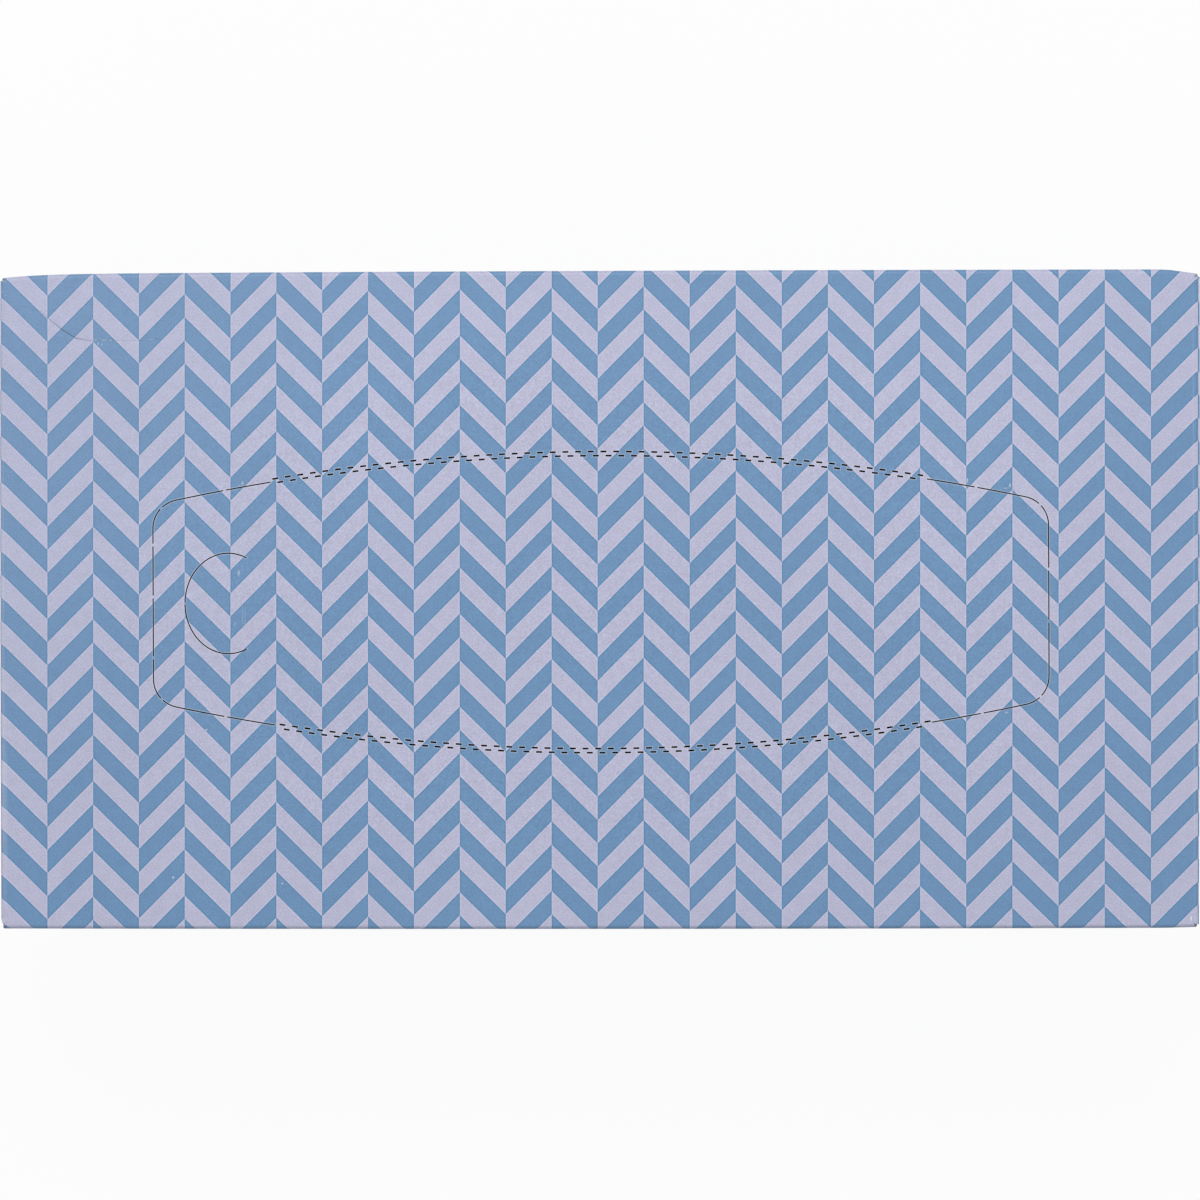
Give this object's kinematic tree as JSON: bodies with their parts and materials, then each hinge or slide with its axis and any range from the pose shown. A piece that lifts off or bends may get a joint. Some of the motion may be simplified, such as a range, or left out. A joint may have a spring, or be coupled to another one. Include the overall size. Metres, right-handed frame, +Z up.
{
  "type": "tissue box",
  "caption": "Flat sealed tissue box: a folded card carton with a herringbone print, glued end flaps, a perforated tear-out panel in its top and a half-moon thumb cut.",
  "frame": {"origin": "middle of the bottom, on the surface the box stands on", "axes": "+X along the box, away from the thumb cut; +Y to the back panel; +Z up"},
  "size_m": [0.218, 0.1196, 0.055],
  "materials": {
    "printed_card": "smooth coated board, printed outside with pale lavender and dusty blue herringbone"
  },
  "bodies": {
    "root": {"tissue_box": "printed_card"}
  },
  "joints": []
}
